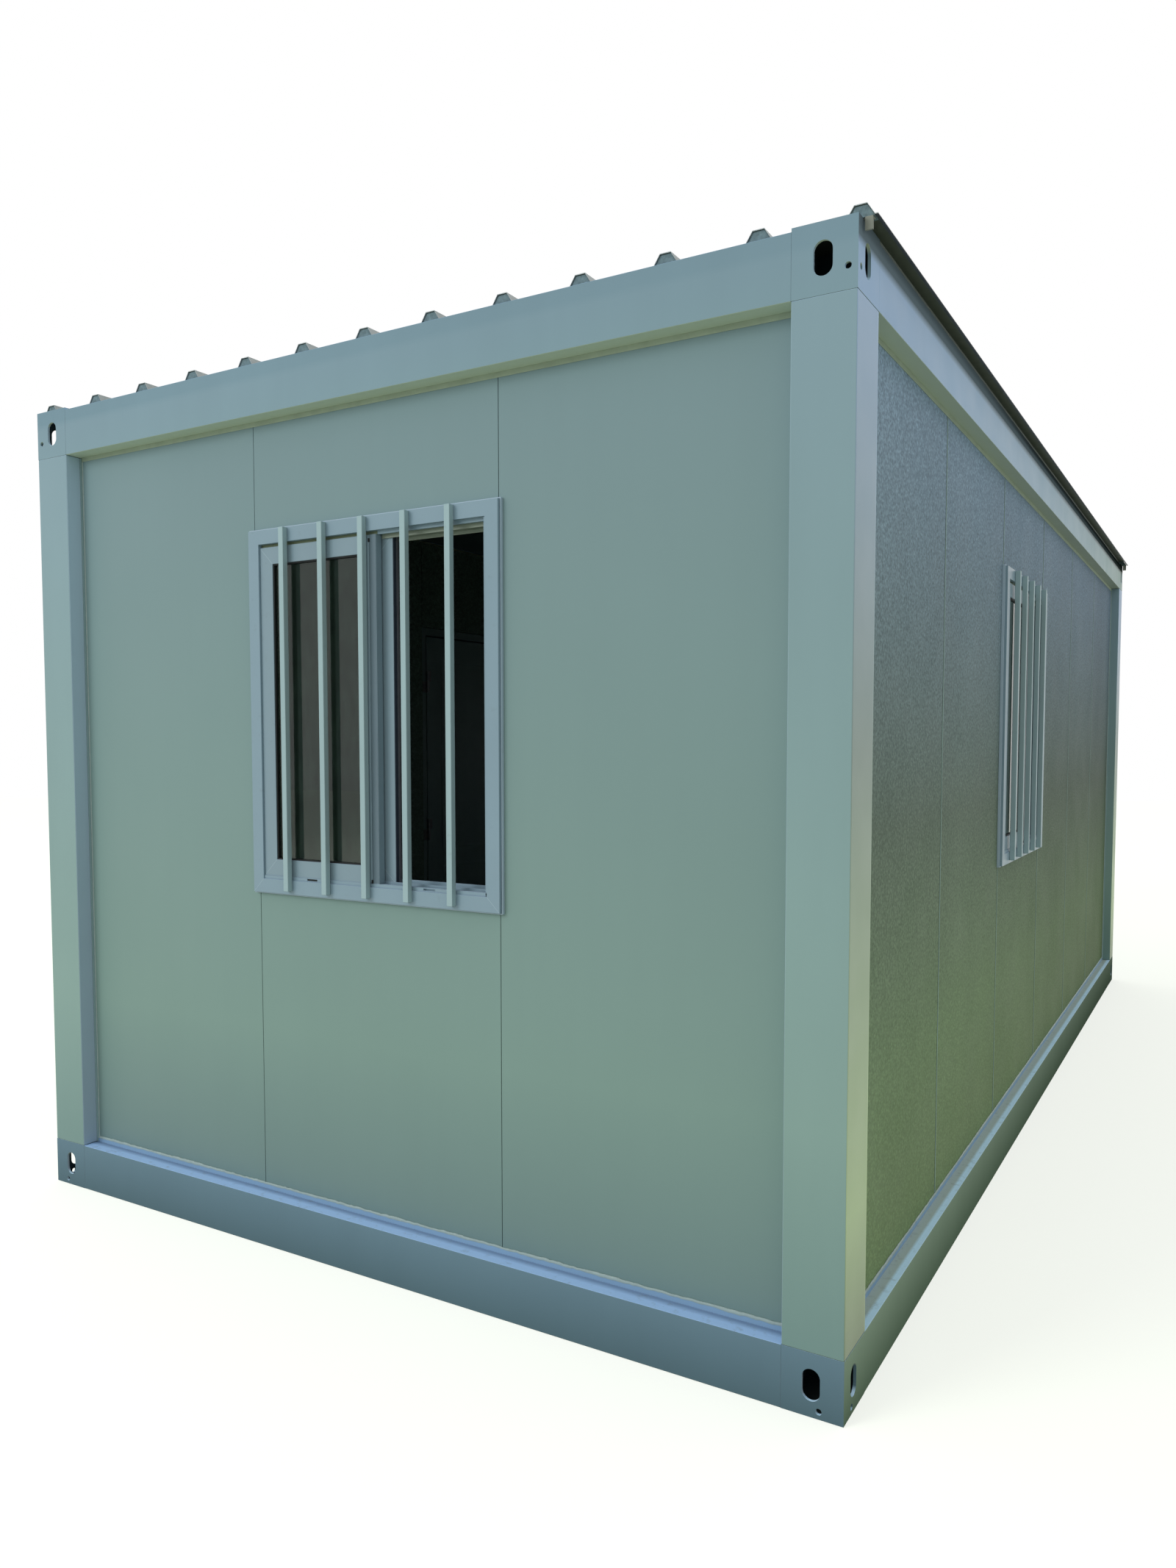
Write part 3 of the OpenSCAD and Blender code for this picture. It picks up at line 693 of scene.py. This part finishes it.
def finish_cad_nodes():
    unlit = plain_normals()
    for name, node in frame["nodes"].items():
        material, rounding = cad_finish(name)
        node.data.materials.clear()
        node.data.materials.append(material)
        if rounding:
            node.modifiers.new("plain normals", "NODES").node_group = unlit
            weld = node.modifiers.new("joined corners", "WELD")
            weld.merge_threshold = 0.0001
            if "fitting" in name:
                flat = node.modifiers.new("flat faces", "DECIMATE")
                flat.decimate_type = "DISSOLVE"
                flat.angle_limit = math.radians(1)
            soften_edges(node, rounding)


# ---- wall details ----

def joint_seals(wall):
    """Dark foam set back in the joints between the panels."""
    shape = Shape(wall.at)
    for u in wall.joints:
        for v in ((0.0025, 0.012), (PANEL_T - 0.012, PANEL_T - 0.0025)):
            shape.box((u - PANEL_GAP / 2, u + PANEL_GAP / 2), v, (FLOOR_TOP, ROOF_LOW))
    shape.piece(wall.name + "_joint_seals", seam_dark)


def joint_laps(wall):
    """The long walls' joints: a dark line of sealant and the next skin's rolled edge beside it, painted
    lighter as a highlight.
    """
    dark, lap = Shape(wall.at), Shape(wall.at)
    low, high = FLOOR_TOP + 0.018, ROOF_LOW - 0.016
    for u in wall.joints:
        for span in wall.clear_spans(u, low, high):
            dark.box((u - 0.0026, u + 0.0010), (-0.0005, 0.0020), span)
            lap.box((u + 0.0013, u + 0.0055), (-0.0010, 0.0010), span)
    dark.piece(wall.name + "_joint_sealant", side_seam)
    lap.piece(wall.name + "_joint_laps", lap_highlight, bevel=0.0006)


def base_track(wall):
    """Upturned lip of the beam's sealing strip, against the foot of the panels."""
    lip, thickness = 0.016, 0.003
    shape = Shape(wall.at)
    for run in wall.foot_runs():
        shape.box(run, (-thickness, 0.0), (FLOOR_TOP, FLOOR_TOP + lip))
    shape.piece(wall.name + "_base_track", track_coat, "frame_paint", bevel=0.0005)


def foot_sealant(wall, seed):
    """The uneven bead run by hand along the top of the base track."""
    step, sides = 0.011, 8
    draw = random.Random(seed)
    shape = Shape(wall.at)
    turns = [2 * math.pi * i / sides for i in range(sides)]
    for low, high in wall.foot_runs():
        count = max(2, round((high - low) / step))
        swell, rings = 0.0, []
        for i in range(count + 1):
            swell = 0.8 * swell + draw.uniform(-0.5, 0.5)
            tall = 0.0042 * (1 + 0.30 * swell)
            deep = 0.0030 * (1 + 0.20 * swell)
            u = low + (high - low) * i / count
            z = FLOOR_TOP + 0.017 + 0.0012 * draw.uniform(-1, 1)
            rings.append([(u, -0.0015 + deep * math.cos(t), z + tall * math.sin(t)) for t in turns])
        shape.loft(rings)
    shape.piece(wall.name + "_foot_sealant", sealant, smooth=True)


def corner_trims(wall):
    """Narrow upright angle and a thin bead where the wall meets its posts."""
    width, depth, bead = 0.008, 0.006, 0.0022
    shape = Shape(wall.at)
    beads = Shape(wall.at)
    for side in (-1, 1):
        edge = side * wall.half_run
        shape.box(sorted((edge, edge - side * width)), (-depth, 0.0), (FLOOR_TOP + 0.002, ROOF_LOW - 0.002))
        u = edge - side * (width + bead * 0.6)
        beads.rod((u, 0.0, FLOOR_TOP + 0.02), (u, 0.0, ROOF_LOW - 0.016), bead, sides=8)
    shape.piece(wall.name + "_corner_trims", trim_coat, "frame_paint", bevel=0.001)
    beads.piece(wall.name + "_corner_beads", sealant, smooth=True)


def soffit_trim(wall):
    """Folded lip that hangs from the roof beam against the top of the panels, coloured in painted olive
    shade.
    """
    lip, thickness = 0.015, 0.002
    shape = Shape(wall.at)
    shape.box((-wall.half_run, wall.half_run), (-thickness, 0.0), (ROOF_LOW - lip, ROOF_LOW))
    shape.piece(wall.name + "_soffit_trim", soffit_coat, "frame_paint", bevel=0.0006)


# ---- window details ----

class Window:
    """The places of one window's members, in its wall's own directions."""

    def __init__(self, wall):
        self.wall = wall
        self.name = wall.name + "_window"
        self.u, depth, self.z = wall.box(self.name + "_frame")
        self.face = depth[0]
        self.back = depth[1]
        self.middle = sum(self.u) / 2
        self.clear_u = (self.u[0] + FRAME_W, self.u[1] - FRAME_W)
        self.clear_z = (self.z[0] + FRAME_W, self.z[1] - FRAME_W)
        self.sash_z = (self.clear_z[0] + RAIL_H, self.clear_z[1] - RAIL_H)
        length = (self.clear_u[1] - self.clear_u[0]) / 2 + SASH_LAP
        self.sash_v = [self.face + SASH_INSET + i * (SASH_D + SASH_GAP) for i in range(2)]
        rights = [self.middle + SASH_LAP, self.middle + INNER_SASH_PAST]
        self.sash_u = [(right - length, right) for right in rights]


def window_gaskets(window):
    """Black gaskets on both faces of the panes."""
    lap, lowest = 0.0045, 0.003
    glass_v = (SASH_D - GLASS_T) / 2
    shape = Shape(window.wall.at)
    z = (window.sash_z[0] + SASH_W, window.sash_z[1] - SASH_W)
    for face, (low, high) in zip(window.sash_v, window.sash_u):
        u = (low + SASH_W, high - SASH_W)
        shape.border(u, z, lap, (face + lowest, face + glass_v))
        shape.border(u, z, lap, (face + glass_v + GLASS_T, face + SASH_D - lowest))
    shape.piece(window.name + "_gaskets", rubber)


def window_tracks(window):
    """Fins at the head, sill and jamb that guide the sashes, with drain slots in the sill's."""
    slot_w, slot_h, slot_u = 0.043, 0.006, 0.232
    lip_v = (window.face + 0.004, window.face + 0.0068)
    lip_h, jamb_lip = RAIL_H + 0.001, 0.006
    shape = Shape(window.wall.at)
    low, high = window.clear_z
    right = window.clear_u[1]
    slot_z = (low + 0.0028, low + 0.0028 + slot_h)
    shape.box(window.clear_u, lip_v, (low, slot_z[0]))
    shape.box(window.clear_u, lip_v, (slot_z[1], low + lip_h))
    starts = [window.middle + side * slot_u - slot_w / 2 for side in (-1, 1)]
    edges = [window.clear_u[0], starts[0], starts[0] + slot_w, starts[1], starts[1] + slot_w, right]
    for a, b in zip(edges[::2], edges[1::2]):
        shape.box((a, b), lip_v, slot_z)
    shape.box((right - jamb_lip, right), lip_v, (low, high))
    middle_v = (window.face + 0.0345, window.face + 0.0375)
    back_v = (window.face + 0.067, window.face + 0.071)
    for v, rise in ((middle_v, 0.016), (back_v, 0.022)):
        shape.box(window.clear_u, v, (low, low + rise))
        shape.box((right - jamb_lip - 0.004, right), v, (low + rise, high))
    shape.piece(window.name + "_tracks", pvc, "window_pvc", bevel=0.0004)
    head = Shape(window.wall.at)
    head.box((window.sash_u[0][1] + 0.001, right), middle_v, (high - 0.020, high))
    head.box((window.sash_u[0][1] + 0.001, right), (middle_v[0] - 0.001, middle_v[0]),
             (high - 0.0205, high - 0.018))
    head.box((window.sash_u[1][1] + 0.001, right), back_v, (high - 0.028, high))
    head.box((window.sash_u[1][1] + 0.001, right), (back_v[0] - 0.001, back_v[0]),
             (high - 0.020, high - 0.0175))
    head.piece(window.name + "_head_fins", fin_shade_pvc, "window_pvc", bevel=0.0004)
    recess = Shape(window.wall.at)
    rail_v = window.face + SASH_INSET + SASH_D / 3
    recess.box((window.clear_u[0], window.sash_u[0][1]), (rail_v - 0.001, rail_v),
               (high - RAIL_H, high))
    recess.piece(window.name + "_head_recess", recess_shade)
    slots = Shape(window.wall.at)
    slots.box((starts[0], starts[0] + slot_w), (lip_v[1], lip_v[1] + 0.0008), slot_z)
    slots.piece(window.name + "_drain_slot", rubber)


def window_interlock(window):
    """Raised strip and a band of painted shade on the meeting stile, its end caps, and the inner sash's edge.
    """
    face = window.sash_v[0]
    edge = window.sash_u[0][1]
    z = window.sash_z
    strips = Shape(window.wall.at)
    strips.box((edge - 0.042, edge - 0.025), (face - 0.0035, face), (z[0] + 0.004, z[1] - 0.012))
    strips.piece(window.name + "_interlock", sash_pvc, "window_pvc", bevel=0.0014)
    band = Shape(window.wall.at)
    band.box((edge - 0.0245, edge - 0.0015), (face - 0.0006, face), z)
    band.piece(window.name + "_stile_shade_band", stile_shade_pvc, "window_pvc")
    caps = Shape(window.wall.at)
    for low in (z[0] + 0.001, z[1] - 0.022):
        caps.box((edge - 0.0275, edge - 0.0225), (face - 0.0045, face), (low, low + 0.011))
    caps.piece(window.name + "_end_caps", rubber, bevel=0.0008)
    inner_edge, inner_face = window.sash_u[1][1], window.sash_v[1]
    pile = Shape(window.wall.at)
    pile.box((inner_edge, inner_edge + 0.0015), (inner_face + 0.002, inner_face + 0.014), z)
    pile.piece(window.name + "_brush", brush)
    strip = Shape(window.wall.at)
    strip.box((inner_edge, inner_edge + 0.002), (inner_face + 0.016, inner_face + 0.0255), z)
    strip.piece(window.name + "_edge_strip", edge_strip)


def window_mitres(window):
    """The fine pale welds at the corners of the sashes and at the foot of the frame."""
    width, proud, deep = 0.0008, 0.0001, 0.0004
    shape = Shape(window.wall.at)

    def welds(u, z, member, face, ends=(0, 1)):
        for a, towards_u in ((u[0], 1), (u[1], -1)):
            for end in ends:
                towards_z = 1 - 2 * end
                start = (a + towards_u * 0.001, z[end] + towards_z * 0.001)
                stop = (a + towards_u * (member - 0.001), z[end] + towards_z * (member - 0.001))
                shape.line(start, stop, width, (face - proud, face + deep))

    welds(window.u, window.z, FRAME_W, window.face, ends=(0,))
    welds(window.sash_u[0], window.sash_z, SASH_W, window.sash_v[0])
    welds(window.sash_u[1], window.sash_z, SASH_W, window.sash_v[1])
    shape.piece(window.name + "_mitres", weld_line)


def window_cover(window):
    """Cover strip round the frame, standing on the wall, painted pale as a highlight, with a dark groove
    beside it.
    """
    width, proud, groove = 0.003, 0.011, 0.0009
    inner_u = (window.u[0] - groove, window.u[1] + groove)
    inner_z = (window.z[0] - groove, window.z[1] + groove)
    outer_u = (inner_u[0] - width, inner_u[1] + width)
    outer_z = (inner_z[0] - width, inner_z[1] + width)
    strip = Shape(window.wall.at)
    strip.border(outer_u, outer_z, width, (-proud, -0.0002))
    strip.piece(window.name + "_cover_strip", highlight_pvc, "window_pvc", bevel=0.0008)
    dark = Shape(window.wall.at)
    dark.border(inner_u, inner_z, groove, (-proud + 0.003, -0.0002))
    dark.piece(window.name + "_cover_groove", seam_dark)


def window_details(wall):
    window = Window(wall)
    window_gaskets(window)
    window_tracks(window)
    window_interlock(window)
    window_mitres(window)
    window_cover(window)


# ---- steel frame details ----

def frame_seams():
    """Paint-filled seams: dark upright ones at the beams' ends, faint level ones at the posts' ends."""
    proud, deep = -0.0004, 0.0016
    upright, level = Shape(), Shape()

    def pair(shape, half, across, z, on_ends):
        for side in (-1, 1):
            depth = sorted((side * (half + proud), side * (half - deep)))
            if on_ends:
                shape.box(across, depth, z)
            else:
                shape.box(depth, across, z)

    width = 0.0014
    for side in (-1, 1):
        for z in ((0.0, FLOOR_TOP), (ROOF_LOW, BEAM_TOP)):
            x, y = side * POST_INNER_X, side * POST_INNER_Y
            pair(upright, HALF_L, (x - width / 2, x + width / 2), z, True)
            pair(upright, HALF_W, (y - width / 2, y + width / 2), z, False)
    width = 0.0009
    for side in (-1, 1):
        for height in (FLOOR_TOP, ROOF_LOW):
            z = (height - width / 2, height + width / 2)
            pair(level, HALF_L, sorted((side * POST_INNER_X, side * (HALF_W - 0.001))), z, True)
            pair(level, HALF_W, sorted((side * POST_INNER_Y, side * (HALF_L - 0.001))), z, False)
    upright.piece("frame_seams_upright", seam_dark)
    level.piece("frame_seams_level", seam_faint)


# ---- roof details ----

rib_count = int((HALF_W - 0.005 + HALF_W - RIB_BASE / 2) / RIB_PITCH) + 1
RIBS = [HALF_W - 0.005 - i * RIB_PITCH for i in range(rib_count)]


def rib_closures():
    """Foam fillers that close the ends of the roof ribs."""
    shape = Shape()
    gap = 0.0008
    for x in RIBS:
        outline = [(x - RIB_BASE / 2 + gap, ROOF_TOP), (x - RIB_TOP / 2 + gap, ROOF_TOP + RIB_H - gap),
                   (x + RIB_TOP / 2 - gap, ROOF_TOP + RIB_H - gap), (x + RIB_BASE / 2 - gap, ROOF_TOP)]
        for side in (-1, 1):
            shape.along_v(outline, sorted((side * (SHEET_END - 0.004), side * (SHEET_END - 0.034))))
    shape.piece("roof_rib_closures", foam)


def roof_tape():
    """Foam tape between the roof beams and the sheet that lies just over them."""
    width, inset = 0.020, 0.006
    shape = Shape()
    for side in (-1, 1):
        y = sorted((side * (SHEET_END - inset), side * (SHEET_END - inset - width)))
        shape.box((-POST_INNER_X, POST_INNER_X), y, (BEAM_TOP, ROOF_TOP))
        x = sorted((side * (HALF_W - inset), side * (HALF_W - inset - width)))
        shape.box(x, (-POST_INNER_Y, POST_INNER_Y), (BEAM_TOP, ROOF_TOP))
    shape.piece("roof_tape", foam)


def roof_screws():
    """Hexagon-headed screws and washers through the sheet's troughs into the purlins."""
    spacing = 2 * POST_INNER_Y / 12
    shape = Shape()
    for x in RIBS[:-1]:
        for i in range(1, 12):
            place = (x - RIB_PITCH / 2, -POST_INNER_Y + i * spacing)
            base = ROOF_TOP + SHEET_T
            shape.rod((*place, base), (*place, base + 0.0014), 0.008, sides=10)
            shape.rod((*place, base + 0.0014), (*place, base + 0.0064), 0.0042, sides=6)
    shape.piece("roof_screws", screw_metal, "galvanised_steel")


def corner_clips():
    """Small folded clips that hold the sheet's right edge at the corners."""
    shape = Shape()
    for side in (-1, 1):
        y = sorted((side * (SHEET_END - 0.001), side * (SHEET_END - 0.007)))
        shape.box((HALF_W + 0.005, HALF_W + 0.024), y, (ROOF_TOP - 0.031, ROOF_TOP - 0.0003))
        y = sorted((side * (SHEET_END - 0.007), side * (SHEET_END - 0.022)))
        shape.box((HALF_W + 0.0003, HALF_W + 0.024), y, (ROOF_TOP - 0.0035, ROOF_TOP - 0.0003))
    shape.piece("roof_corner_clips", clip_metal, bevel=0.0012)


# ---- door details ----

def door_details(wall):
    """Gasket and threshold on the frame; pressed panels and lock on the leaf."""
    u, v, z = wall.box("door_leaf")
    frame_u, frame_v, frame_z = wall.box("door_frame")
    gasket = Shape(wall.at)
    across, up = (u[0] + 0.001, u[1] - 0.001), (z[0] - 0.004, z[1] - 0.001)
    gasket.border(across, up, 0.007, (v[0] - 0.0055, v[0] - 0.0003))
    gasket.piece("door_gasket", rubber)
    plate = Shape(wall.at)
    plate.along_u([(frame_v[0] - 0.001, FLOOR_TOP + 0.020), (frame_v[0] - 0.001, FLOOR_TOP + 0.022),
                   (v[0] - 0.008, FLOOR_TOP + 0.0235), (v[0] - 0.008, FLOOR_TOP + 0.020)],
                  (u[0] + 0.008, u[1] - 0.008))
    plate.piece("door_threshold_plate", zinc, "galvanised_steel", bevel=0.0004)
    panels = Shape(wall.at)
    margin, gap, ridge, proud = 0.12, 0.09, 0.012, 0.0022
    split = z[0] + (z[1] - z[0]) * 0.42
    for low, high in ((z[0] + margin, split - gap / 2), (split + gap / 2, z[1] - margin)):
        span = (u[0] + margin, u[1] - margin)
        panels.border(span, (low, high), ridge, (v[0] - proud, v[0]))
        panels.border(span, (low, high), ridge, (v[1], v[1] + proud))
    panels.piece("door_leaf_ridges", door_coat, "door_paint", bevel=0.0018, body="door")
    lock = Shape(wall.at)
    lock_u = u[1] - 0.060
    for face, out in ((v[0], -1), (v[1], 1)):
        for drop, radius, proud in ((0.072, 0.0115, 0.0095), (0.072, 0.0085, 0.0115)):
            centre = z[0] + 0.973 - drop
            lock.rod((lock_u, face, centre), (lock_u, face + out * proud, centre), radius, sides=20)
    lock.piece("door_lock", handle_metal, "door_handle_metal", body="door", bevel=0.0004)


finish_cad_nodes()
for seed, wall in enumerate(WALLS.values()):
    joint_seals(wall)
    if wall.name in ("right", "left"):
        joint_laps(wall)
    base_track(wall)
    foot_sealant(wall, seed)
    corner_trims(wall)
    soffit_trim(wall)
for name in WINDOW_WALLS:
    window_details(WALLS[name])
frame_seams()
rib_closures()
roof_tape()
roof_screws()
corner_clips()
door_details(WALLS["left"])


# ---- stage ----

def look_at(thing, target):
    way = Vector(target) - thing.location
    thing.rotation_euler = way.to_track_quat("-Z", "Y").to_euler()


def camera():
    data = bpy.data.cameras.new("camera")
    data.sensor_width = 36
    data.lens = 26.038
    data.shift_x = 0.01243
    data.shift_y = 0.01544
    data.clip_end = 200
    thing = bpy.data.objects.new("camera", data)
    bpy.context.scene.collection.objects.link(thing)
    yaw, pitch, roll = math.radians(31.096), math.radians(3.2572), math.radians(-0.087)
    turn = Matrix.Rotation(yaw, 4, "Z") @ Matrix.Rotation(math.pi / 2 - pitch, 4, "X")
    turn = turn @ Matrix.Rotation(roll, 4, "Z")
    thing.matrix_world = Matrix.Translation((2.2914, -5.5779, 1.6297)) @ turn
    bpy.context.scene.camera = thing


def area_light(name, place, target, size, power, colour=(1, 1, 1)):
    data = bpy.data.lights.new(name, "AREA")
    data.shape = "DISK"
    data.size = size
    data.energy = power
    data.color = colour
    thing = bpy.data.objects.new(name, data)
    bpy.context.scene.collection.objects.link(thing)
    thing.location = place
    thing.visible_glossy = False
    look_at(thing, target)


def seen_rays(nodes, links):
    """1 for the rays that see the background: camera, glossy and transmission."""
    path = nodes.new("ShaderNodeLightPath")
    total = path.outputs["Is Camera Ray"]
    for output in ("Is Glossy Ray", "Is Transmission Ray"):
        node = nodes.new("ShaderNodeMath")
        node.operation = "MAXIMUM"
        links.new(total, node.inputs[0])
        links.new(path.outputs[output], node.inputs[1])
        total = node.outputs[0]
    return total


def world(ambient):
    data = bpy.data.worlds.new("studio")
    data.use_nodes = True
    nodes, links = data.node_tree.nodes, data.node_tree.links
    lit = nodes["Background"]
    lit.inputs["Color"].default_value = (0.97, 0.99, 1.0, 1.0)
    lit.inputs["Strength"].default_value = ambient
    white = nodes.new("ShaderNodeBackground")
    white.inputs["Color"].default_value = (1, 1, 1, 1)
    white.inputs["Strength"].default_value = 1.0
    mix = nodes.new("ShaderNodeMixShader")
    links.new(seen_rays(nodes, links), mix.inputs[0])
    links.new(lit.outputs[0], mix.inputs[1])
    links.new(white.outputs[0], mix.inputs[2])
    links.new(mix.outputs[0], nodes["World Output"].inputs["Surface"])
    bpy.context.scene.world = data


def studio_floor(size=60.0, glow=0.62):
    mesh = bmesh.new()
    bmesh.ops.create_grid(mesh, x_segments=1, y_segments=1, size=size / 2)
    data = bpy.data.meshes.new("studio_floor")
    mesh.to_mesh(data)
    mesh.free()
    material = bpy.data.materials.new("floor_pale")
    material.use_nodes = True
    nodes, links = material.node_tree.nodes, material.node_tree.links
    shader = nodes["Principled BSDF"]
    shader.inputs["Base Color"].default_value = (0.52, 0.55, 0.46, 1)
    shader.inputs["Roughness"].default_value = 1.0
    shader.inputs["Specular IOR Level"].default_value = 0.0
    shader.inputs["Emission Color"].default_value = (1, 1, 1, 1)
    lift = nodes.new("ShaderNodeMath")
    lift.operation = "MULTIPLY"
    lift.inputs[1].default_value = glow
    links.new(seen_rays(nodes, links), lift.inputs[0])
    links.new(lift.outputs[0], shader.inputs["Emission Strength"])
    material.cycles.emission_sampling = "NONE"
    data.materials.append(material)
    thing = bpy.data.objects.new("studio_floor", data)
    thing.location.z = -0.001
    bpy.context.scene.collection.objects.link(thing)


camera()
world(0.80)
studio_floor()
area_light("key", (-7.0, -15.0, 8.0), (0, -2, 1.2), 8.0, 960)
bpy.context.scene.view_settings.view_transform = "Standard"
